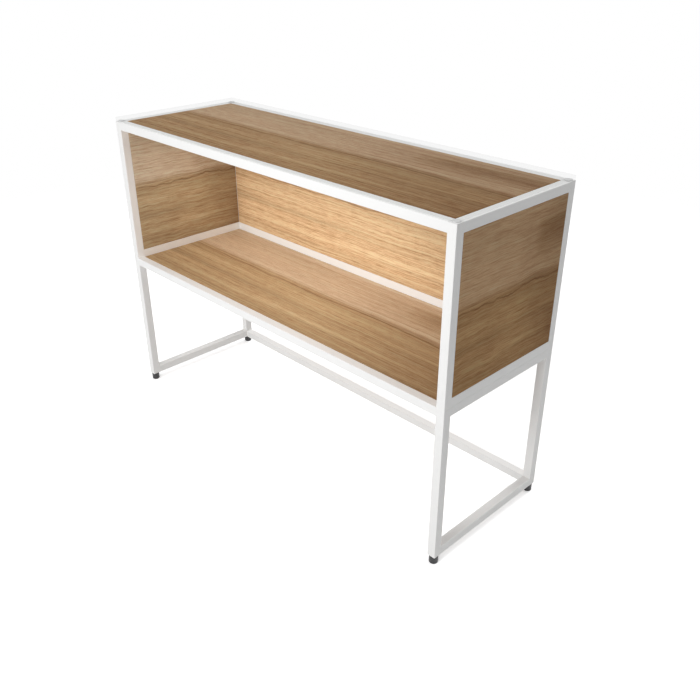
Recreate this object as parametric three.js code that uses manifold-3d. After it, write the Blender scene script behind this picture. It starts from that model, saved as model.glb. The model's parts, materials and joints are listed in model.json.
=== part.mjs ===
// Steel-framed sideboard: a panelled cubby frame stacked on an open base frame, with a clear
// glass top on rubber buttons and four feet that screw in and out of the base posts.
// Millimetres. +X is right, +Y is back, +Z is up. The origin is on the floor, at the centre.

import * as THREE from 'three';
import { mergeVertices } from 'three/addons/utils/BufferGeometryUtils.js';
import Module from 'manifold-3d';

const wasm = await Module();
wasm.setup();

// Outer sizes of the two stacked frames
const LENGTH = 1080;
const DEPTH = 360;
const CUBBY_FRAME_HEIGHT = 360;
const BASE_FRAME_HEIGHT = 360;

// Square steel tube of both frames
const TUBE = 20;
const TUBE_WALL = 1.5;
const TUBE_CORNER = 1;

// Wood panels, flush with the tubes on both sides, bonded in with a hairline joint
const PANEL_THICKNESS = TUBE;
const PANEL_JOINT = 0.3;
const PANEL_ARRIS = 0.3;

// Glass top and the rubber buttons under it
const GLASS_THICKNESS = 8;
const GLASS_CORNER = 2;
const GLASS_ARRIS = 0.8;
const BUTTON_DIAMETER = 16;
const BUTTON_HEIGHT = 2;
const BUTTON_ROUND = 0.6;
const BUTTON_STEM_DIAMETER = 4.4;
const BUTTON_STEM_LENGTH = 7;
const BUTTON_STEM_CLEARANCE = 0.1;

// Plastic caps that close the cubby posts
const CAP_HEAD = 1.5;
const CAP_PLUG_LENGTH = 10;

// Steel sleeves that join the base posts to the cubby posts
const SLEEVE_LENGTH = 50;
const SLEEVE_WALL = 1.5;
const SLEEVE_ARRIS = 0.5;

// Threaded inserts in the lower ends of the base posts
const INSERT_LENGTH = 24;
const INSERT_GROOVE_DEPTH = 1.4;
const INSERT_FIN_THICKNESS = 2;
const INSERT_FIN_COUNT = 5;

// Levelling feet: a plastic pad on a threaded stud
const FOOT_HEIGHT = 20;
const FOOT_DIAMETER = 20;
const FOOT_ROUND = 3;
const FOOT_TOP_CHAMFER = 0.8;
const FOOT_RUNNING_GAP = 0.3;
const STUD_DIAMETER = 8;
const STUD_LENGTH = 34;
const STUD_CHAMFER = 1;
const STUD_CLEARANCE = 0.1;
const STUD_SOCKET_DEPTH = 12;
const STUD_SOCKET_END_GAP = 0.3;

// Clearance of every plug in the bore of a tube
const PLUG_CLEARANCE = 0.3;

// Overrun of a cutting solid past the face that it cuts
const OVERRUN = 1;

// Facets of round forms
const CORNER_SEGMENTS = 3;
const STUD_SIDES = 24;
const FOOT_SIDES = 32;

// Levels and centre lines that follow from the sizes above
const BASE_TOP = FOOT_HEIGHT + BASE_FRAME_HEIGHT;
const FRAME_TOP = BASE_TOP + CUBBY_FRAME_HEIGHT;
const CUBBY_MIDDLE = BASE_TOP + CUBBY_FRAME_HEIGHT / 2;
const POST_X = (LENGTH - TUBE) / 2;
const POST_Y = (DEPTH - TUBE) / 2;
const CLEAR_LENGTH = LENGTH - 2 * TUBE;
const CLEAR_DEPTH = DEPTH - 2 * TUBE;
const CLEAR_HEIGHT = CUBBY_FRAME_HEIGHT - 2 * TUBE;
const PLUG_SIDE = TUBE - 2 * TUBE_WALL - 2 * PLUG_CLEARANCE;

const RIGHT = new THREE.Vector3(1, 0, 0);
const BACK = new THREE.Vector3(0, 1, 0);
const UP = new THREE.Vector3(0, 0, 1);

const CORNERS = [
  { name: 'front_left', x: -POST_X, y: -POST_Y },
  { name: 'front_right', x: POST_X, y: -POST_Y },
  { name: 'back_left', x: -POST_X, y: POST_Y },
  { name: 'back_right', x: POST_X, y: POST_Y },
];

// Each panelled opening: its middle, its two directions and its clear size along each of them
const OPENINGS = {
  top: { at: [0, 0, FRAME_TOP - TUBE / 2], axes: [RIGHT, BACK], size: [CLEAR_LENGTH, CLEAR_DEPTH] },
  shelf: { at: [0, 0, BASE_TOP - TUBE / 2], axes: [RIGHT, BACK], size: [CLEAR_LENGTH, CLEAR_DEPTH] },
  back: { at: [0, POST_Y, CUBBY_MIDDLE], axes: [RIGHT, UP], size: [CLEAR_LENGTH, CLEAR_HEIGHT] },
  left: { at: [-POST_X, 0, CUBBY_MIDDLE], axes: [BACK, UP], size: [CLEAR_DEPTH, CLEAR_HEIGHT] },
  right: { at: [POST_X, 0, CUBBY_MIDDLE], axes: [BACK, UP], size: [CLEAR_DEPTH, CLEAR_HEIGHT] },
};

const FINISHES = {
  powder_coat: { color: 0xf1f1ef, roughness: 0.45, metalness: 0 },
  walnut: { color: 0xb48a60, roughness: 0.55, metalness: 0 },
  glass: { color: 0xdfeae6, roughness: 0.03, metalness: 0, transparent: true, opacity: 0.35 },
  rubber: { color: 0xb9bbba, roughness: 0.6, metalness: 0 },
  cap: { color: 0xe9e9e7, roughness: 0.5, metalness: 0 },
  zinc: { color: 0xa9adb0, roughness: 0.35, metalness: 0.9 },
  plastic: { color: 0x202122, roughness: 0.5, metalness: 0 },
};

function part(name, geometry, finish) {
  const mesh = new THREE.Mesh(geometry, new THREE.MeshStandardMaterial(FINISHES[finish]));
  mesh.name = name;
  return mesh;
}

// Booleans

function toSolid(geometry) {
  const bare = geometry.clone();
  for (const name of Object.keys(bare.attributes)) {
    if (name !== 'position') bare.deleteAttribute(name);
  }
  const merged = mergeVertices(bare);
  const triVerts = merged.index.array;
  const vertProperties = merged.attributes.position.array;
  return new wasm.Manifold(new wasm.Mesh({ numProp: 3, vertProperties, triVerts }));
}

function toGeometry(solid) {
  const { vertProperties, triVerts } = solid.getMesh();
  const geometry = new THREE.BufferGeometry();
  geometry.setAttribute('position', new THREE.BufferAttribute(vertProperties, 3));
  geometry.setIndex(new THREE.BufferAttribute(triVerts, 1));
  geometry.computeVertexNormals();
  return geometry;
}

function joined(first, ...others) {
  const sum = others.reduce((solid, other) => solid.add(toSolid(other)), toSolid(first));
  return toGeometry(sum);
}

function cut(body, ...tools) {
  const rest = tools.reduce((solid, tool) => solid.subtract(toSolid(tool)), toSolid(body));
  return toGeometry(rest);
}

// Outlines and basic forms

// Points of a quarter circle about (u, v), from one angle on by a quarter turn
function quarterArc(u, v, radius, fromAngle) {
  return Array.from({ length: CORNER_SEGMENTS + 1 }, (_, i) => {
    const angle = fromAngle + (i / CORNER_SEGMENTS) * (Math.PI / 2);
    return [u + radius * Math.cos(angle), v + radius * Math.sin(angle)];
  });
}

function outline(pairs) {
  return pairs.map(([u, v]) => new THREE.Vector2(u, v));
}

function rectangle(width, height) {
  const u = width / 2;
  const v = height / 2;
  return outline([[-u, -v], [u, -v], [u, v], [-u, v]]);
}

function roundedRectangle(width, height, radius) {
  const u = width / 2 - radius;
  const v = height / 2 - radius;
  const centres = [[u, v], [-u, v], [-u, -v], [u, -v]];
  return outline(centres.flatMap(([cu, cv], i) => quarterArc(cu, cv, radius, i * Math.PI / 2)));
}

// A prism on an outline, from level zero up, with a hole through it if a second outline is given
function prism(outside, height, hole) {
  const shape = new THREE.Shape(outside);
  if (hole) shape.holes.push(new THREE.Path(hole));
  return new THREE.ExtrudeGeometry(shape, { depth: height, bevelEnabled: false });
}

// A plate centred on its middle plane, with all its edges eased by the arris
function plate(width, height, thickness, corner, arris) {
  const flatWidth = width - 2 * arris;
  const flatHeight = height - 2 * arris;
  const flat = corner > 0
    ? roundedRectangle(flatWidth, flatHeight, corner)
    : rectangle(flatWidth, flatHeight);
  const geometry = new THREE.ExtrudeGeometry(new THREE.Shape(flat), {
    depth: thickness - 2 * arris,
    bevelThickness: arris,
    bevelSize: arris,
    bevelSegments: 1,
  });
  return geometry.translate(0, 0, arris - thickness / 2);
}

// A turned form on the Z axis, from radius and height pairs
function turned(profile, sides) {
  return new THREE.LatheGeometry(outline(profile), sides).rotateX(Math.PI / 2);
}

// A round bar on the Z axis between two levels, which cuts a hole
function drill(diameter, from, to) {
  const radius = diameter / 2;
  return turned([[0, from], [radius, from], [radius, to], [0, to]], STUD_SIDES);
}

// Steel frames

function tube(length) {
  const bore = TUBE - 2 * TUBE_WALL;
  return prism(roundedRectangle(TUBE, TUBE, TUBE_CORNER), length, rectangle(bore, bore));
}

// A rail along the X or Y axis, centred on its middle
function rail(length, along) {
  const bar = tube(length).translate(0, 0, -length / 2);
  return along === RIGHT ? bar.rotateY(Math.PI / 2) : bar.rotateX(-Math.PI / 2);
}

// Four posts, four top rails and three bottom rails: the front has no bottom rail
function steelFrame(name, height, postLength) {
  const frame = new THREE.Group();
  const add = (label, geometry, x, y, z) => {
    const mesh = part(`${name}_${label}`, geometry, 'powder_coat');
    mesh.position.set(x, y, z);
    frame.add(mesh);
  };
  for (const corner of CORNERS) {
    add(`post_${corner.name}`, tube(postLength), corner.x, corner.y, 0);
  }
  const high = height - TUBE / 2;
  const low = TUBE / 2;
  add('top_rail_front', rail(CLEAR_LENGTH, RIGHT), 0, -POST_Y, high);
  add('top_rail_back', rail(CLEAR_LENGTH, RIGHT), 0, POST_Y, high);
  add('top_rail_left', rail(CLEAR_DEPTH, BACK), -POST_X, 0, high);
  add('top_rail_right', rail(CLEAR_DEPTH, BACK), POST_X, 0, high);
  add('bottom_rail_back', rail(CLEAR_LENGTH, RIGHT), 0, POST_Y, low);
  add('bottom_rail_left', rail(CLEAR_DEPTH, BACK), -POST_X, 0, low);
  add('bottom_rail_right', rail(CLEAR_DEPTH, BACK), POST_X, 0, low);
  return frame;
}

// A wood panel that fills an opening, with its middle plane on the middle of the tubes
function panel(name, opening) {
  const [width, height] = opening.size.map((clear) => clear - 2 * PANEL_JOINT);
  const mesh = part(`${name}_panel`, plate(width, height, PANEL_THICKNESS, 0, PANEL_ARRIS), 'walnut');
  const [along, across] = opening.axes;
  const normal = along.clone().cross(across);
  mesh.quaternion.setFromRotationMatrix(new THREE.Matrix4().makeBasis(along, across, normal));
  mesh.position.set(...opening.at);
  return mesh;
}

// Glass top with its buttons and post caps

function glassTop() {
  const pane = plate(LENGTH, DEPTH, GLASS_THICKNESS, GLASS_CORNER, GLASS_ARRIS);
  const mesh = part('glass_top', pane, 'glass');
  mesh.position.z = FRAME_TOP + BUTTON_HEIGHT + GLASS_THICKNESS / 2;
  return mesh;
}

// A flat disc with a rounded rim, on a stem that goes down into the cap
function glassButton() {
  const radius = BUTTON_DIAMETER / 2;
  const stemRadius = BUTTON_STEM_DIAMETER / 2;
  return turned([
    [0, -BUTTON_STEM_LENGTH],
    [stemRadius, -BUTTON_STEM_LENGTH],
    [stemRadius, 0],
    [radius, 0],
    ...quarterArc(radius - BUTTON_ROUND, BUTTON_HEIGHT - BUTTON_ROUND, BUTTON_ROUND, 0),
    [0, BUTTON_HEIGHT],
  ], STUD_SIDES);
}

// A square head that covers the end of the tube, a plug in its bore and a hole for the stem
function postCap() {
  const head = prism(roundedRectangle(TUBE, TUBE, TUBE_CORNER), CAP_HEAD);
  const plug = prism(rectangle(PLUG_SIDE, PLUG_SIDE), CAP_PLUG_LENGTH + CAP_HEAD / 2);
  const diameter = BUTTON_STEM_DIAMETER + 2 * BUTTON_STEM_CLEARANCE;
  const from = -CAP_PLUG_LENGTH - OVERRUN;
  const hole = drill(diameter, from, CAP_HEAD + OVERRUN);
  return cut(joined(head, plug.translate(0, 0, -CAP_PLUG_LENGTH)), hole);
}

// A short square sleeve with eased ends, half in the base post and half in the cubby post
function joiningSleeve() {
  const outside = plate(PLUG_SIDE, PLUG_SIDE, SLEEVE_LENGTH, 0, SLEEVE_ARRIS);
  const bore = PLUG_SIDE - 2 * SLEEVE_WALL;
  const length = SLEEVE_LENGTH + 2 * OVERRUN;
  return cut(outside, prism(rectangle(bore, bore), length).translate(0, 0, -length / 2));
}

// Levelling feet

// A square core with fins that grip the bore of the post, and a hole for the stud
function threadedInsert() {
  const side = PLUG_SIDE - 2 * INSERT_GROOVE_DEPTH;
  const core = prism(rectangle(side, side), INSERT_LENGTH);
  const pitch = (INSERT_LENGTH - INSERT_FIN_THICKNESS) / (INSERT_FIN_COUNT - 1);
  const fins = Array.from({ length: INSERT_FIN_COUNT }, (_, i) => (
    prism(rectangle(PLUG_SIDE, PLUG_SIDE), INSERT_FIN_THICKNESS).translate(0, 0, i * pitch)
  ));
  const diameter = STUD_DIAMETER + 2 * STUD_CLEARANCE;
  const hole = drill(diameter, -OVERRUN, INSERT_LENGTH + OVERRUN);
  return cut(joined(core, ...fins), hole);
}

function footStud() {
  const radius = STUD_DIAMETER / 2;
  return turned([
    [0, 0],
    [radius - STUD_CHAMFER, 0],
    [radius, STUD_CHAMFER],
    [radius, STUD_LENGTH - STUD_CHAMFER],
    [radius - STUD_CHAMFER, STUD_LENGTH],
    [0, STUD_LENGTH],
  ], STUD_SIDES);
}

// A round pad with a rounded lower edge and a socket for the stud in its top
function footPad() {
  const radius = FOOT_DIAMETER / 2;
  const top = FOOT_HEIGHT - FOOT_RUNNING_GAP;
  const socketRadius = STUD_DIAMETER / 2 + STUD_CLEARANCE;
  const socketFloor = FOOT_HEIGHT - STUD_SOCKET_DEPTH - STUD_SOCKET_END_GAP;
  return turned([
    [0, 0],
    ...quarterArc(radius - FOOT_ROUND, FOOT_ROUND, FOOT_ROUND, -Math.PI / 2),
    [radius, top - FOOT_TOP_CHAMFER],
    [radius - FOOT_TOP_CHAMFER, top],
    [socketRadius, top],
    [socketRadius, socketFloor],
    [0, socketFloor],
  ], FOOT_SIDES);
}

// The small pieces that every corner has, from the floor up
function cornerPieces(corner) {
  const group = new THREE.Group();
  group.position.set(corner.x, corner.y, 0);
  const add = (name, geometry, finish, z) => {
    const mesh = part(`${name}_${corner.name}`, geometry, finish);
    mesh.position.z = z;
    group.add(mesh);
  };
  add('foot_pad', footPad(), 'plastic', 0);
  add('foot_stud', footStud(), 'zinc', FOOT_HEIGHT - STUD_SOCKET_DEPTH);
  add('threaded_insert', threadedInsert(), 'plastic', FOOT_HEIGHT);
  add('joining_sleeve', joiningSleeve(), 'zinc', BASE_TOP);
  add('post_cap', postCap(), 'cap', FRAME_TOP - CAP_HEAD);
  add('glass_button', glassButton(), 'rubber', FRAME_TOP);
  return group;
}

const baseFrame = steelFrame('base', BASE_FRAME_HEIGHT, BASE_FRAME_HEIGHT);
baseFrame.position.z = FOOT_HEIGHT;

const cubbyFrame = steelFrame('cubby', CUBBY_FRAME_HEIGHT, CUBBY_FRAME_HEIGHT - CAP_HEAD);
cubbyFrame.position.z = BASE_TOP;

const panels = Object.entries(OPENINGS).map(([name, opening]) => panel(name, opening));

const sideboard = new THREE.Group();
sideboard.add(baseFrame, cubbyFrame, ...panels, glassTop(), ...CORNERS.map(cornerPieces));

export default sideboard;
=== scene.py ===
"""Sideboard of white square steel tube, with walnut boards, a clear glass top and levelling feet.

Metres. +X is right, +Y is back, +Z is up, and the floor is at z = 0.
"""

import json
import math

import bpy
import numpy as np
from mathutils import Euler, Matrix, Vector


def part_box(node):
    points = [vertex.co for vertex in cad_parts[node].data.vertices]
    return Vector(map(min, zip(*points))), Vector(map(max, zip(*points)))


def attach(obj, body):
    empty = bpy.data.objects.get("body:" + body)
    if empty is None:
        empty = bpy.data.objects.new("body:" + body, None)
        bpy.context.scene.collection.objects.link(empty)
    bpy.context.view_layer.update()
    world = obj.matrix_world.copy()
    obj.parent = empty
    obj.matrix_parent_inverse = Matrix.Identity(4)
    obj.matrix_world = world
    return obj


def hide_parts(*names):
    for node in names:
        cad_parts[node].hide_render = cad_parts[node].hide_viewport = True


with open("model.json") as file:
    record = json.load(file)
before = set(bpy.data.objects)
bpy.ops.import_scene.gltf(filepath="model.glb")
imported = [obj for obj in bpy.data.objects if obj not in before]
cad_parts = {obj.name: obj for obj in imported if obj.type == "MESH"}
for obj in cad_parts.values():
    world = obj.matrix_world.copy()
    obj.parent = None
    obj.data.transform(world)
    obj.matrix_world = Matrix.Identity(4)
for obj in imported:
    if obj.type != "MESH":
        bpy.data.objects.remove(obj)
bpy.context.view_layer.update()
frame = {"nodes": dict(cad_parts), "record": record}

MM = 0.001
CORNERS = ("front_left", "front_right", "back_left", "back_right")
BODY_OF = {
    node: body
    for body, members in frame["record"]["behaviour"]["bodies"].items()
    for node in members
}


# Surfaces


def ring_faces(rings, points, closed):
    """Quads between neighbouring rings of a grid, each ring being closed on itself.

    With closed, the last ring is joined to the first one as well.
    """
    row = np.arange(rings if closed else rings - 1)[:, None]
    column = np.arange(points)[None, :]
    next_row = (row + 1) % rings
    next_column = (column + 1) % points
    quads = np.stack(
        [
            row * points + column,
            row * points + next_column,
            next_row * points + next_column,
            next_row * points + column,
        ],
        axis=-1,
    )
    return quads.reshape(-1, 4).tolist()


def new_piece(name, vertices, faces, crease_degrees=30.0):
    """A mesh object from points and faces, smooth but for edges sharper than the crease."""
    mesh = bpy.data.meshes.new(name)
    mesh.from_pydata(vertices.tolist(), [], faces)
    mesh.polygons.foreach_set("use_smooth", np.ones(len(mesh.polygons), dtype=bool))
    mesh.set_sharp_from_angle(angle=math.radians(crease_degrees))
    mesh.update()
    piece = bpy.data.objects.new(name, mesh)
    bpy.context.scene.collection.objects.link(piece)
    return piece


def stacked_solid(name, rings, crease_degrees=30.0):
    """A solid skinned over stacked rings, an array (ring, point, xyz), with flat end caps.

    The rings run upwards and turn anticlockwise seen from above, so the faces point out.
    Another ring, drawn in a little on the level of each end, keeps the shading of the cap flat.
    """
    ends = rings[[0, -1]]
    middles = ends.mean(axis=1, keepdims=True)
    drawn_in = middles + 0.98 * (ends - middles)
    rings = np.concatenate([drawn_in[:1], rings, drawn_in[1:]])
    count, points = rings.shape[:2]
    faces = ring_faces(count, points, closed=False)
    faces.append(list(range(points))[::-1])
    faces.append(list(range((count - 1) * points, count * points)))
    return new_piece(name, rings.reshape(-1, 3), faces, crease_degrees)


def turned_rings(profile, centre, sides):
    """Rings of a turned form: (radius, height) pairs swept round the vertical line at centre.

    x = cx + r cos a, y = cy + r sin a, z = h, for a in equal steps round the circle.
    """
    radius, height = np.array(profile, dtype=float).T
    angle = np.linspace(0.0, 2.0 * math.pi, sides, endpoint=False)
    x = centre[0] + radius[:, None] * np.cos(angle)
    y = centre[1] + radius[:, None] * np.sin(angle)
    z = np.broadcast_to(height[:, None], x.shape)
    return np.stack([x, y, z], axis=-1)


def square_outline(half_u, half_v, radius, steps=4, flank=0.25 * MM):
    """Points of a rectangle with round corners, anticlockwise: four quarter arcs and flanks.

    The flanks are points on the flat sides just past each arc, so that the smooth shading of
    the arc ends there and the sides stay flat.
    """
    turn = np.linspace(0.0, 0.5 * math.pi, steps + 1)
    arc_u = radius * np.cos(turn)
    arc_v = radius * np.sin(turn)
    corner_u = np.concatenate([[radius], arc_u, [-flank]])
    corner_v = np.concatenate([[-flank], arc_v, [radius]])
    inner_u, inner_v = half_u - radius, half_v - radius
    quarters = [
        (inner_u + corner_u, inner_v + corner_v),
        (-inner_u - corner_v, inner_v + corner_u),
        (-inner_u - corner_u, -inner_v - corner_v),
        (inner_u + corner_v, -inner_v - corner_u),
    ]
    u = np.concatenate([quarter[0] for quarter in quarters])
    v = np.concatenate([quarter[1] for quarter in quarters])
    return u, v


# Nodes of the finishes


def blank_material(name):
    """A material with a Principled shader on its output; returns its tree and the shader."""
    material = bpy.data.materials.new(name)
    material.use_nodes = True
    tree = material.node_tree
    shader = tree.nodes["Principled BSDF"]
    return material, tree, shader


def add_node(tree, kind, sockets=None, **settings):
    """A node of the kind, with settings as attributes and values or links on its sockets."""
    node = tree.nodes.new(kind)
    for key, value in settings.items():
        setattr(node, key, value)
    for key, value in (sockets or {}).items():
        if isinstance(value, bpy.types.NodeSocket):
            tree.links.new(value, node.inputs[key])
        else:
            node.inputs[key].default_value = value
    return node


def maths(tree, operation, *values, clamp=False):
    """The result of one Math node on up to three numbers or sockets."""
    node = add_node(tree, "ShaderNodeMath", dict(enumerate(values)), operation=operation)
    node.use_clamp = clamp
    return node.outputs[0]


def noise(tree, vector, scale=1.0, detail=2.0, roughness=0.5):
    """Fractal noise between 0 and 1, about 0.5 on the mean."""
    sockets = {"Vector": vector, "Scale": scale, "Detail": detail, "Roughness": roughness}
    return add_node(tree, "ShaderNodeTexNoise", sockets).outputs["Fac"]


def ramp(tree, factor, stops, interpolation="LINEAR"):
    """A colour ramp through (position, colour) stops; a plain number stands for a grey."""
    node = add_node(tree, "ShaderNodeValToRGB", {"Fac": factor})
    band = node.color_ramp
    band.interpolation = interpolation
    while len(band.elements) < len(stops):
        band.elements.new(1.0)
    for element, (position, colour) in zip(band.elements, stops):
        element.position = position
        grey = isinstance(colour, (int, float))
        element.color = (colour, colour, colour, 1.0) if grey else (*colour, 1.0)
    return node.outputs["Color"]


def linear(red, green, blue):
    """Linear colour of an sRGB colour given in 0 to 255."""
    srgb = np.array([red, green, blue]) / 255.0
    low = srgb / 12.92
    high = ((srgb + 0.055) / 1.055) ** 2.4
    return tuple(float(value) for value in np.where(srgb <= 0.04045, low, high))


def object_vector(tree):
    """The place in metres from the frame's origin, where every piece has its own origin."""
    return add_node(tree, "ShaderNodeTexCoord").outputs["Object"]


def combined(tree, x, y, z):
    """A vector of three numbers or sockets."""
    return add_node(tree, "ShaderNodeCombineXYZ", {0: x, 1: y, 2: z}).outputs[0]


def times(tree, vector, factors):
    """The vector with each of its parts multiplied on its own."""
    sockets = {0: vector, 1: factors}
    return add_node(tree, "ShaderNodeVectorMath", sockets, operation="MULTIPLY").outputs[0]


def mixed(tree, share, first, second):
    """The first colour where the share is zero and the second where it is one."""
    sockets = {0: share, 6: first, 7: second}
    return add_node(tree, "ShaderNodeMix", sockets, data_type="RGBA").outputs[2]


def smooth_step(tree, value, start, end, low=0.0, high=1.0):
    """Goes smoothly from low to high while the value goes from start to end."""
    return add_node(
        tree,
        "ShaderNodeMapRange",
        {0: value, 1: start, 2: end, 3: low, 4: high},
        interpolation_type="SMOOTHSTEP",
    ).outputs[0]


def swing(tree, vector, stretch, amount, detail=2.0, roughness=0.5):
    """Noise on the stretched vector, which swings evenly about zero by the amount."""
    level = noise(tree, times(tree, vector, stretch), 1.0, detail, roughness)
    return maths(tree, "MULTIPLY", maths(tree, "SUBTRACT", level, 0.5), 2.0 * amount)


def thin_line(tree, value, place, half_width):
    """One on the line where the value meets the place, down to zero at the half width."""
    away = maths(tree, "ABSOLUTE", maths(tree, "SUBTRACT", value, place))
    return maths(tree, "SUBTRACT", 1.0, maths(tree, "DIVIDE", away, half_width), clamp=True)


# Walnut veneer. On a board, s runs along the grain and v across it, both from 0 to 1, and v
# starts at the back or the top edge. Bent is v with slow noise added.

# Tone against bent v
BANDS = [
    (0.00, 0.66),
    (0.12, 0.62),
    (0.24, 0.66),
    (0.43, 0.76),
    (0.47, 0.46),
    (0.54, 0.34),
    (0.62, 0.58),
    (0.72, 0.28),
    (0.82, 0.50),
    (1.00, 0.34),
]

# The two browns of the veneer, at the tones 0, one half and 1
TONES = (0.0, 0.5, 1.0)
ROSY = ((0.255, 0.155, 0.098), (0.50, 0.34, 0.215), (0.76, 0.54, 0.36))
TAWNY = ((0.25, 0.138, 0.069), (0.505, 0.323, 0.171), (0.77, 0.52, 0.297))

# The highest value that a shaded brown may have in any channel
LIGHTEST = 0.94


def double_line(tree, sheet, v, wave):
    """A straight thin line over a wavy one a little below the middle, both fading in and out."""
    ripple = swing(tree, sheet, (15.0, 3.0, 1.0), 0.010)
    waved = maths(tree, "ADD", maths(tree, "ADD", v, wave), ripple)
    straight = maths(tree, "MULTIPLY_ADD", wave, 0.3, v)
    upper = thin_line(tree, straight, 0.455, 0.007)
    lower = thin_line(tree, waved, 0.487, 0.009)
    strength = noise(tree, times(tree, sheet, (7.0, 1.0, 1.0)))
    lines = maths(tree, "MULTIPLY_ADD", upper, 0.5, lower)
    return maths(tree, "MULTIPLY", lines, maths(tree, "MULTIPLY", strength, 0.75))


def dark_patch(tree, s, bent):
    """One in a patch at the far end above the line: a sharp upper edge and soft other ones."""
    patch = smooth_step(tree, s, 0.68, 0.80)
    patch = maths(tree, "MULTIPLY", patch, smooth_step(tree, bent, 0.10, 0.13))
    return maths(tree, "MULTIPLY", patch, smooth_step(tree, bent, 0.15, 0.44, 1.0, 0.0))


def walnut_figure(tree, board, length, width, fineness, seed):
    """The veneer's tone from 0 to 1, its fine grain, where it is yellower, and its relief.

    The tone is a ramp over bent v, plus long streaks, faint above the double line and
    stronger below it, plus clouds, and less the lines, the dark patch, a fall towards the far
    end and the pores. Threads, flecks and fibres make the fine grain, which swings about zero
    by as much as the fineness says.
    """
    parts = add_node(tree, "ShaderNodeSeparateXYZ", {0: board})
    s = maths(tree, "DIVIDE", parts.outputs[0], length)
    v = maths(tree, "DIVIDE", parts.outputs[1], width)
    sheet = combined(tree, s, v, seed)
    wave = swing(tree, sheet, (4.6, 1.2, 1.0), 0.040, detail=3.0)
    drift = swing(tree, sheet, (1.3, 1.6, 1.0), 0.035)
    bent = maths(tree, "MULTIPLY_ADD", wave, 0.5, maths(tree, "ADD", v, drift))
    grain = combined(tree, s, bent, seed)
    below = smooth_step(tree, bent, 0.42, 0.50)

    def weaker_above(layer, share):
        return maths(tree, "MULTIPLY", layer, smooth_step(tree, below, 0.0, 1.0, share, 1.0))

    lines = double_line(tree, sheet, v, wave)
    patch = dark_patch(tree, maths(tree, "ADD", s, wave), bent)
    far_end = smooth_step(tree, s, 0.45, 1.0)
    clouds = swing(tree, sheet, (2.2, 4.0, 1.0), 0.20, 3.0)
    streaks = weaker_above(swing(tree, grain, (1.4, 20.0, 1.0), 0.37, 6.0, 0.62), 0.55)
    threads = swing(tree, grain, (2.2, 110.0, 1.0), 0.46 * fineness, 3.0, 0.60)
    threads = weaker_above(threads, 0.95)
    flecks = swing(tree, board, (34.0, 430.0, 200.0), 0.30 * fineness, 2.0, 0.6)
    flecks = weaker_above(flecks, 0.75)
    fibres = swing(tree, board, (24.0, 1100.0, 300.0), 0.30 * fineness, 2.0, 0.6)
    pores = noise(tree, times(tree, board, (90.0, 1700.0, 400.0)), detail=1.0)
    pores = smooth_step(tree, pores, 0.60, 0.72)

    tone = ramp(tree, bent, BANDS, "B_SPLINE")
    layers = [
        (streaks, 1.0),
        (clouds, 1.0),
        (lines, -1.0),
        (patch, -0.27),
        (far_end, -0.24),
        (pores, -0.22),
    ]
    for layer, weight in layers:
        tone = maths(tree, "MULTIPLY_ADD", layer, weight, tone)
    tone = maths(tree, "ADD", tone, 0.06, clamp=True)
    fine = maths(tree, "ADD", maths(tree, "ADD", threads, flecks), fibres)
    yellower = maths(tree, "MAXIMUM", below, maths(tree, "MULTIPLY", patch, 0.6))
    relief = maths(tree, "MULTIPLY_ADD", pores, -0.8, fibres)
    return tone, fine, yellower, relief


def walnut_brown(tree, tone, yellower, shade):
    """The veneer's brown for each tone, tawny where it is yellower and rosy elsewhere.

    The shade multiplies the red, green and blue of all the browns of one face, and so paints that
    face's light or shade into them. A brown that would pass the lightest one allowed is scaled down
    as a whole.
    """

    def browns(colours):
        shaded = np.array(colours) * shade
        shaded = shaded * np.minimum(1.0, LIGHTEST / shaded.max(axis=1, keepdims=True))
        return ramp(tree, tone, list(zip(TONES, shaded.tolist())))

    return mixed(tree, yellower, browns(ROSY), browns(TAWNY))


def fine_grain_factor(tree, fine, share, lowest, highest):
    """One plus a share of the fine grain, kept between two limits."""
    factor = maths(tree, "MULTIPLY_ADD", fine, share, 1.0)
    return maths(tree, "MINIMUM", maths(tree, "MAXIMUM", factor, lowest), highest)


def walnut_material(name, turn, origin, length, width, face_tints_and_light, fineness, seed):
    """Walnut veneer under a matt lacquer, with a shade for each of the board's two faces, which
    paints light and shade into the veneer: the same veneer is lighter on one face, as if lit, than
    on the other.

    After the turn, the first shade's face has the lower z. The fine grain changes the blue
    most and the red least, so dark fibres are redder.
    """
    material, tree, shader = blank_material(name)
    board = add_node(
        tree,
        "ShaderNodeMapping",
        {"Vector": object_vector(tree), "Location": origin, "Rotation": turn},
    ).outputs[0]
    tone, fine, yellower, relief = walnut_figure(tree, board, length, width, fineness, seed)
    through = add_node(tree, "ShaderNodeSeparateXYZ", {0: board}).outputs[2]
    second_face = maths(tree, "GREATER_THAN", through, 0.0)
    first, second = (walnut_brown(tree, tone, yellower, shade) for shade in face_tints_and_light)
    factors = combined(
        tree,
        fine_grain_factor(tree, fine, 0.60, 0.66, 1.07),
        fine_grain_factor(tree, fine, 0.82, 0.55, 1.22),
        fine_grain_factor(tree, fine, 0.95, 0.48, 1.28),
    )
    colour = times(tree, mixed(tree, second_face, first, second), factors)
    tree.links.new(colour, shader.inputs["Base Color"])
    rough = maths(tree, "MULTIPLY_ADD", tone, -0.10, 0.62)
    tree.links.new(rough, shader.inputs["Roughness"])
    sockets = {"Height": relief, "Strength": 0.25, "Distance": 0.2 * MM}
    bump = add_node(tree, "ShaderNodeBump", sockets)
    tree.links.new(bump.outputs[0], shader.inputs["Normal"])
    shader.inputs["Specular IOR Level"].default_value = 0.04
    return material


# Coats, plastics, rubber, zinc and glass


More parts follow.
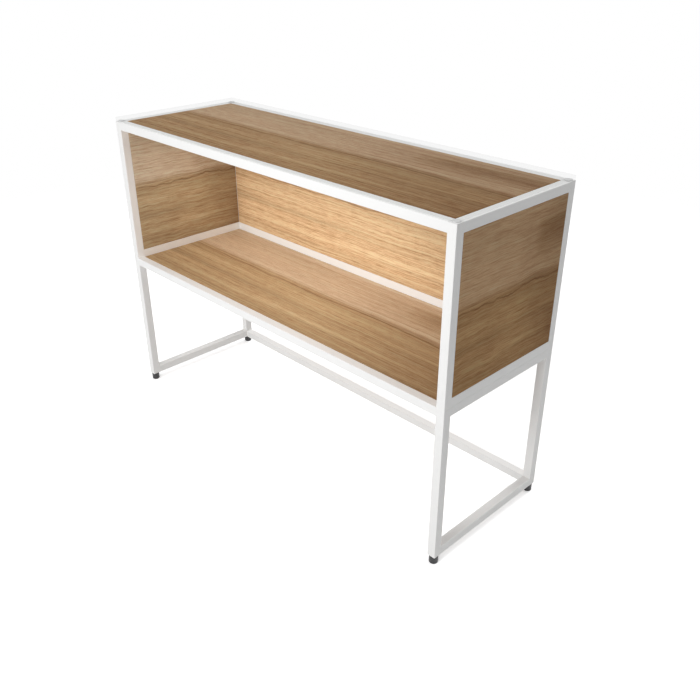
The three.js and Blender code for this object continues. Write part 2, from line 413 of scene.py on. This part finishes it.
def speckled_material(name, srgb, spread, grains, roughness, relief, metal=0.0):
    """A moulded or coated finish: one colour that drifts a little, over a fine-grained skin.

    The colour is mixed between two near shades by slow noise, the roughness drifts with it,
    and a fine noise raises the skin.
    """
    material, tree, shader = blank_material(name)
    vector = object_vector(tree)
    drift = noise(tree, vector, scale=9.0, detail=4.0)
    colour = np.array(linear(*srgb))
    darker = (colour * (1.0 - spread)).tolist()
    lighter = (colour * (1.0 + spread)).tolist()
    shade = ramp(tree, drift, [(0.3, darker), (0.7, lighter)])
    tree.links.new(shade, shader.inputs["Base Color"])
    rough = maths(tree, "MULTIPLY_ADD", drift, 0.12, roughness - 0.06)
    tree.links.new(rough, shader.inputs["Roughness"])
    skin = noise(tree, vector, scale=grains)
    bump = add_node(tree, "ShaderNodeBump", {"Height": skin, "Strength": 0.3, "Distance": relief})
    tree.links.new(bump.outputs[0], shader.inputs["Normal"])
    shader.inputs["Metallic"].default_value = metal
    return material


def glass_material():
    """Clear pane: light passes straight through, a little dimmed at each face.

    At a grazing view a share of it is mirrored instead, which grows smoothly from nothing.
    The dimming drifts by a very faint slow noise.
    """
    material = bpy.data.materials.new("clear_glass")
    material.use_nodes = True
    tree = material.node_tree
    tree.nodes.remove(tree.nodes["Principled BSDF"])
    drift = noise(tree, object_vector(tree), scale=3.0, detail=1.0)
    tint = ramp(tree, drift, [(0.0, (0.954, 0.955, 0.954)), (1.0, (0.961, 0.961, 0.960))])
    clear = add_node(tree, "ShaderNodeBsdfTransparent", {"Color": tint})
    mirror = add_node(tree, "ShaderNodeBsdfAnisotropic", {"Roughness": 0.03})
    facing = add_node(tree, "ShaderNodeLayerWeight", {"Blend": 0.5}).outputs["Facing"]
    share = smooth_step(tree, facing, 0.84, 1.0, 0.0, 0.6)
    sockets = {0: share, 1: clear.outputs[0], 2: mirror.outputs[0]}
    mix = add_node(tree, "ShaderNodeMixShader", sockets)
    tree.links.new(mix.outputs[0], tree.nodes["Material Output"].inputs["Surface"])
    return material


# Name: colour in 0 to 255, how far it drifts, grains per metre, roughness, height of the
# grains, and the share of metal where there is one
SPECKLED = {
    "white_powder_coat": ((242, 242, 241), 0.008, 1400.0, 0.45, 0.03 * MM),
    "white_plastic": ((236, 236, 235), 0.012, 900.0, 0.55, 0.03 * MM),
    "grey_rubber": ((226, 226, 226), 0.03, 1200.0, 0.65, 0.04 * MM),
    "black_plastic": ((52, 52, 54), 0.12, 1600.0, 0.42, 0.04 * MM),
    "zinc_plated_steel": ((190, 193, 197), 0.10, 500.0, 0.36, 0.02 * MM, 1.0),
}
finishes = {name: speckled_material(name, *values) for name, values in SPECKLED.items()}
finishes["clear_glass"] = glass_material()


# Putting a piece or a finish on a node


def stand_for(piece, node, finish):
    """Gives the piece its finish and puts it in the place of a node of the frame."""
    piece.data.materials.append(finish)
    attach(piece, BODY_OF[node])
    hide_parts(node)


def dress(node, finish):
    """Gives a node of the frame its finish and leaves its shape as it is."""
    mesh = frame["nodes"][node].data
    mesh.materials.clear()
    mesh.materials.append(finish)


def middle_and_half(node):
    """The middle of a node's box, and half of its size."""
    low, high = (np.array(corner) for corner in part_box(node))
    return (low + high) / 2.0, (high - low) / 2.0


# Tubes of the two frames

TUBE_WALL = 1.5 * MM
TUBE_CORNER = 1.0 * MM
BORE_CORNER = 0.4 * MM
END_ARRIS = 0.25 * MM


def tube_surface(name, node, overlap):
    """A square tube with round corners and a square bore, closed on itself.

    An outline in u and v is carried along the tube's axis: out along the outside and back
    along the bore, with an eased edge at both ends. Each end runs on by the overlap, into
    the post that it is welded to, and so fills the round corner of that post.
    """
    middle, half = middle_and_half(node)
    axis = int(np.argmax(half))
    half_side = float(np.min(half))
    reach = float(half[axis]) + overlap
    outside = square_outline(half_side, half_side, TUBE_CORNER)
    eased_half = half_side - END_ARRIS
    eased = square_outline(eased_half, eased_half, TUBE_CORNER)
    bore_half = half_side - TUBE_WALL
    bore = square_outline(bore_half, bore_half, BORE_CORNER)
    stations = [
        (-reach, eased),
        (-reach + END_ARRIS, outside),
        (reach - END_ARRIS, outside),
        (reach, eased),
        (reach, bore),
        (-reach, bore),
    ]
    u = np.array([outline[0] for _, outline in stations])
    v = np.array([outline[1] for _, outline in stations])
    w = np.broadcast_to(np.array([place for place, _ in stations])[:, None], u.shape)
    order = {0: (w, u, v), 1: (v, w, u), 2: (u, v, w)}[axis]
    points = np.stack(order, axis=-1) + middle
    faces = ring_faces(len(stations), u.shape[1], closed=True)
    return new_piece(name, points.reshape(-1, 3), faces)


for module in ("base", "cubby"):
    for corner in CORNERS:
        node = f"{module}_post_{corner}"
        stand_for(tube_surface(f"{node}_tube", node, 0.0), node, finishes["white_powder_coat"])
    sides = [f"top_rail_{side}" for side in ("front", "back", "left", "right")]
    sides += [f"bottom_rail_{side}" for side in ("back", "left", "right")]
    for side in sides:
        node = f"{module}_{side}"
        rail = tube_surface(f"{node}_tube", node, TUBE_CORNER)
        stand_for(rail, node, finishes["white_powder_coat"])


# Wood boards

BOARD_ARRIS = 0.5 * MM


def board_surface(name, node):
    """A thin board: a rectangle with hardly rounded corners, stacked through the thickness.

    At each face the outline draws in over a quarter circle, which eases the edges.
    """
    middle, half = middle_and_half(node)
    thin = int(np.argmin(half))
    others = [(thin + 1) % 3, (thin + 2) % 3]
    turn = np.linspace(0.0, 0.5 * math.pi, 4)
    inset = BOARD_ARRIS * (1.0 - np.cos(turn))
    level = half[thin] - BOARD_ARRIS + BOARD_ARRIS * np.sin(turn)
    insets = np.concatenate([inset[::-1], inset])
    levels = np.concatenate([-level[::-1], level])
    u0, v0 = square_outline(half[others[0]], half[others[1]], 2.0 * BOARD_ARRIS, steps=3)
    shrink_u = 1.0 - insets[:, None] / half[others[0]]
    shrink_v = 1.0 - insets[:, None] / half[others[1]]
    rings = np.empty((len(levels), len(u0), 3))
    rings[:, :, others[0]] = u0 * shrink_u
    rings[:, :, others[1]] = v0 * shrink_v
    rings[:, :, thin] = levels[:, None]
    return stacked_solid(name, rings + middle)


# How a board lies: the turn that brings its grain to X, and its width, from the back or the
# top edge on, to Y
TURN_FLAT = (math.pi, 0.0, 0.0)
TURN_BACK = (0.5 * math.pi, 0.0, 0.0)
TURN_SIDE = (0.5 * math.pi, 0.5 * math.pi, 0.0)

# Joint round each board, past which its opening ends
JOINT = 0.3 * MM


def opening_after_turn(node, turn):
    """Minus the first corner of the board's opening after the turn, and its two sides.

    Through the thickness, the corner is on the middle plane.
    """
    low, high = (np.array(corner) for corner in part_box(node))
    turned = np.array([low - JOINT, high + JOINT]) @ np.array(Euler(turn).to_matrix()).T
    start, end = turned.min(axis=0), turned.max(axis=0)
    origin = (-start[0], -start[1], -0.5 * (start[2] + end[2]))
    return origin, end[0] - start[0], end[1] - start[1]


# Shades that several boards share: faces outside the cubby are darker than those inside it
# This is partly the veneer's own colour and partly painted light: painted shade on the outside
# faces, painted light on the inside ones.
OUTSIDE_TINT_AND_SHADE = (0.85, 0.78, 0.68)
INSIDE_TINT_AND_LIGHT = (1.00, 1.05, 1.10)

# Name, turn, the shades of the faces at low and high z after it, how strong the fine grain
# is, seed
# The shades paint light and shade into one veneer: the inside faces are painted lighter, as if lit,
# the back board's most of all, and the top board's upper face darker, as painted shade under the
# glass.
BOARDS = [
    ("top_panel", TURN_FLAT, ((0.83, 0.79, 0.74), INSIDE_TINT_AND_LIGHT), 3.0, 0.30),
    ("shelf_panel", TURN_FLAT, ((1.04, 1.10, 1.13), OUTSIDE_TINT_AND_SHADE), 1.9, 0.34),
    ("back_panel", TURN_BACK, ((1.57, 1.69, 1.84), OUTSIDE_TINT_AND_SHADE), 2.2, 0.38),
    ("left_panel", TURN_SIDE, ((1.00, 1.14, 1.27), OUTSIDE_TINT_AND_SHADE), 2.1, 0.42),
    ("right_panel", TURN_SIDE, (OUTSIDE_TINT_AND_SHADE, INSIDE_TINT_AND_LIGHT), 1.8, 0.26),
]
for node, turn, face_tints_and_light, fineness, seed in BOARDS:
    place = opening_after_turn(node, turn)
    finish = walnut_material(f"walnut_{node}", turn, *place, face_tints_and_light, fineness, seed)
    stand_for(board_surface(f"{node}_board", node), node, finish)


# Glass top, buttons and post caps


def pane_surface(name, node, corner, arris):
    """The pane: a rectangle with round corners, whose outline draws in over a small arc."""
    middle, half = middle_and_half(node)
    turn = np.linspace(0.0, 0.5 * math.pi, 5)
    inset = arris * (1.0 - np.cos(turn))
    level = half[2] - arris + arris * np.sin(turn)
    insets = np.concatenate([inset[::-1], inset])
    levels = np.concatenate([-level[::-1], level])
    rings = []
    for draw_in, height in zip(insets, levels):
        radius = corner - draw_in
        u, v = square_outline(half[0] - draw_in, half[1] - draw_in, radius, steps=8)
        rings.append(np.stack([u, v, np.full_like(u, height)], axis=-1))
    return stacked_solid(name, np.array(rings) + middle)


def button_surface(name, node):
    """A button on a stem, turned: its rim bulges in a half circle and its top is a hair low."""
    middle, half = middle_and_half(node)
    low, high = middle[2] - half[2], middle[2] + half[2] - 0.1 * MM
    radius = float(half[0])
    stem = 2.2 * MM
    under = low + 7.0 * MM
    bulge = 0.5 * (high - under)
    turn = np.linspace(-0.5 * math.pi, 0.5 * math.pi, 9)
    rim = [
        (radius - bulge + bulge * math.cos(a), under + bulge + bulge * math.sin(a)) for a in turn
    ]
    profile = [(stem - 0.3 * MM, low), (stem, low + 0.3 * MM), (stem, under)] + rim
    return stacked_solid(name, turned_rings(profile, middle[:2], 48))


pane = pane_surface("glass_pane", "glass_top", 2.5 * MM, 0.8 * MM)
stand_for(pane, "glass_top", finishes["clear_glass"])

for corner in CORNERS:
    node = f"post_cap_{corner}"
    dress(node, finishes["white_plastic"])
    button = f"glass_button_{corner}"
    stand_for(button_surface(f"{button}_turned", button), button, finishes["grey_rubber"])
    dress(f"threaded_insert_{corner}", finishes["black_plastic"])
    dress(f"joining_sleeve_{corner}", finishes["zinc_plated_steel"])


# Levelling feet

FOOT_SIDES = 64
THREAD_PITCH = 1.25 * MM
THREAD_DEPTH = 0.65 * MM


def foot_pad_surface(name, node):
    """The pad: a turned form with a rounded lower edge, a chamfered rim and a flat sole."""
    middle, half = middle_and_half(node)
    low, high = middle[2] - half[2], middle[2] + half[2]
    radius, edge, chamfer = float(half[0]), 3.0 * MM, 0.8 * MM
    seat_radius, seat_depth = 4.1 * MM, 1.0 * MM
    turn = np.linspace(-0.5 * math.pi, 0.0, 7)
    arc = [
        (radius - edge + edge * math.cos(a), low + edge + edge * math.sin(a)) for a in turn
    ]
    profile = arc + [
        (radius, low + edge + 0.3 * MM),
        (radius, high - chamfer),
        (radius - chamfer, high),
        (seat_radius, high),
        (seat_radius, high - seat_depth),
    ]
    return stacked_solid(name, turned_rings(profile, middle[:2], FOOT_SIDES))


def stud_surface(name, node):
    """A threaded rod: r = outer radius minus the depth times a triangle wave.

    The wave's phase is height over pitch minus angle over a full turn, so its crests run
    round as a right-hand helix. The ends taper to a chamfer.
    """
    middle, half = middle_and_half(node)
    low, high = middle[2] - half[2], middle[2] + half[2]
    outer = float(half[0])
    height = np.linspace(low, high, int(round((high - low) / THREAD_PITCH * 8)) + 1)
    angle = np.linspace(0.0, 2.0 * math.pi, 32, endpoint=False)
    phase = height[:, None] / THREAD_PITCH - angle[None, :] / (2.0 * math.pi)
    wave = np.abs(2.0 * (phase - np.floor(phase)) - 1.0)
    radius = outer - THREAD_DEPTH * wave
    end = np.minimum(height - low, high - height)[:, None]
    radius = np.minimum(radius, outer - 1.0 * MM + end)
    x = middle[0] + radius * np.cos(angle)
    y = middle[1] + radius * np.sin(angle)
    z = np.broadcast_to(height[:, None], x.shape)
    return stacked_solid(name, np.stack([x, y, z], axis=-1), 50.0)


for corner in CORNERS:
    pad, stud = f"foot_pad_{corner}", f"foot_stud_{corner}"
    stand_for(foot_pad_surface(f"{pad}_turned", pad), pad, finishes["black_plastic"])
    stand_for(stud_surface(f"{stud}_thread", stud), stud, finishes["zinc_plated_steel"])


# Floor, light and camera

FLOOR_RADIUS = 6.0
FADE_START = 1.3
FADE_END = 2.6
FLOOR_WHITE_AS_LIGHT = 0.66
FLOOR_GLOW = 0.45

# Degrees that the sun lamps are wide, which softens their shadows
SUN_WIDTH = 25.0

# The camera that the straight edges in the photograph give: its place, the degrees that it
# looks down and is turned from the front, and its lens and sensor in millimetres
CAMERA_PLACE = (1.28068, -1.15121, 1.16199)
CAMERA_DOWN = 28.389
CAMERA_TURN = 45.503
CAMERA_LENS = 40.139
CAMERA_SENSOR = 36.0


def seen_directly(tree):
    """One for what the camera, glass or metal sees, and zero for the light that falls on things."""
    path = add_node(tree, "ShaderNodeLightPath")
    seen = maths(tree, "MAXIMUM", path.outputs["Is Camera Ray"], path.outputs["Is Glossy Ray"])
    return maths(tree, "MAXIMUM", seen, path.outputs["Is Transmission Ray"])


def studio_floor():
    """A white disc, see-through from below, that fades into the white background far off."""
    points = 96
    angle = np.linspace(0.0, 2.0 * math.pi, points, endpoint=False)
    x, y = FLOOR_RADIUS * np.cos(angle), FLOOR_RADIUS * np.sin(angle)
    rim = np.stack([x, y, np.zeros(points)], axis=-1)
    floor = new_piece("floor", rim, [list(range(points))])
    material, tree, shader = blank_material("studio_floor")
    shader.inputs["Roughness"].default_value = 0.9
    shader.inputs["Specular IOR Level"].default_value = 0.0
    seen = seen_directly(tree)
    white = ramp(tree, seen, [(0.0, FLOOR_WHITE_AS_LIGHT), (1.0, 1.0)])
    tree.links.new(white, shader.inputs["Base Color"])
    shader.inputs["Emission Color"].default_value = (1.0, 1.0, 1.0, 1.0)
    glow = maths(tree, "MULTIPLY", seen, FLOOR_GLOW)
    tree.links.new(glow, shader.inputs["Emission Strength"])
    distance = add_node(
        tree, "ShaderNodeVectorMath", {0: object_vector(tree)}, operation="LENGTH"
    ).outputs["Value"]
    fade = smooth_step(tree, distance, FADE_START, FADE_END)
    underside = add_node(tree, "ShaderNodeNewGeometry").outputs["Backfacing"]
    open_part = maths(tree, "MAXIMUM", fade, underside)
    clear = add_node(tree, "ShaderNodeBsdfTransparent")
    sockets = {0: open_part, 1: shader.outputs[0], 2: clear.outputs[0]}
    mix = add_node(tree, "ShaderNodeMixShader", sockets)
    tree.links.new(mix.outputs[0], tree.nodes["Material Output"].inputs["Surface"])
    floor.data.materials.append(material)


def studio_world(strength):
    """Plain white all round: full white to the camera, glass and metal, dimmer as a light."""
    world = bpy.data.worlds.new("studio")
    world.use_nodes = True
    tree = world.node_tree
    background = tree.nodes["Background"]
    level = maths(tree, "MULTIPLY_ADD", seen_directly(tree), 1.0 - strength, strength)
    tree.links.new(level, background.inputs["Strength"])
    background.inputs["Color"].default_value = (1.0, 1.0, 1.0, 1.0)
    bpy.context.scene.world = world


def soft_lamp(name, place, target, width, height, power):
    """A flat soft lamp at a place, turned towards a target; it is seen in no picture or glass."""
    lamp = bpy.data.lights.new(name, "AREA")
    lamp.shape = "RECTANGLE"
    lamp.size = width
    lamp.size_y = height
    lamp.energy = power
    holder = bpy.data.objects.new(name, lamp)
    bpy.context.scene.collection.objects.link(holder)
    holder.visible_camera = False
    holder.visible_glossy = False
    holder.location = place
    way = np.array(target, dtype=float) - np.array(place, dtype=float)
    flat = math.hypot(way[0], way[1])
    holder.rotation_euler = (math.atan2(flat, -way[2]), 0.0, math.atan2(-way[0], way[1]))


def soft_sun(name, elevation, azimuth, level):
    """Even light from afar; azimuth 0 is from the front. Level 1 lights white to full white."""
    lamp = bpy.data.lights.new(name, "SUN")
    lamp.angle = math.radians(SUN_WIDTH)
    lamp.energy = level * math.pi
    holder = bpy.data.objects.new(name, lamp)
    bpy.context.scene.collection.objects.link(holder)
    holder.visible_glossy = False
    holder.rotation_euler = (math.radians(90.0 - elevation), 0.0, math.radians(azimuth))


def photo_camera():
    """The camera at the photograph's viewing angle."""
    lens = bpy.data.cameras.new("camera")
    lens.sensor_width = CAMERA_SENSOR
    lens.lens = CAMERA_LENS
    lens.clip_start = 0.05
    camera = bpy.data.objects.new("camera", lens)
    bpy.context.scene.collection.objects.link(camera)
    camera.location = CAMERA_PLACE
    tilt, turn = math.radians(90.0 - CAMERA_DOWN), math.radians(CAMERA_TURN)
    camera.rotation_euler = (tilt, 0.0, turn)
    bpy.context.scene.camera = camera


# Name, elevation and azimuth in degrees, level
SUNS = [
    ("front_sun", 30.0, 0.0, 0.275),
    ("back_sun", 45.0, 181.0, 0.42),
]

# Name, place, target, width, height, watts. The last one hangs in the cubby, under its top.
LAMPS = [
    ("side_lamp", (0.42, -1.5, 1.2), (-0.58, -1.0, 0.85), 0.7, 0.7, 9.5),
    ("near_lamp", (0.44, -1.4, 1.1), (0.2, 0.0, 0.35), 0.5, 0.5, 3.0),
    ("cubby_lamp", (0.0, -0.03, 0.71), (0.0, 0.04, 0.38), 0.80, 0.22, 0.88),
]

studio_floor()
studio_world(0.36)
for sun in SUNS:
    soft_sun(*sun)
for lamp in LAMPS:
    soft_lamp(*lamp)
photo_camera()
bpy.context.scene.view_settings.view_transform = "Standard"
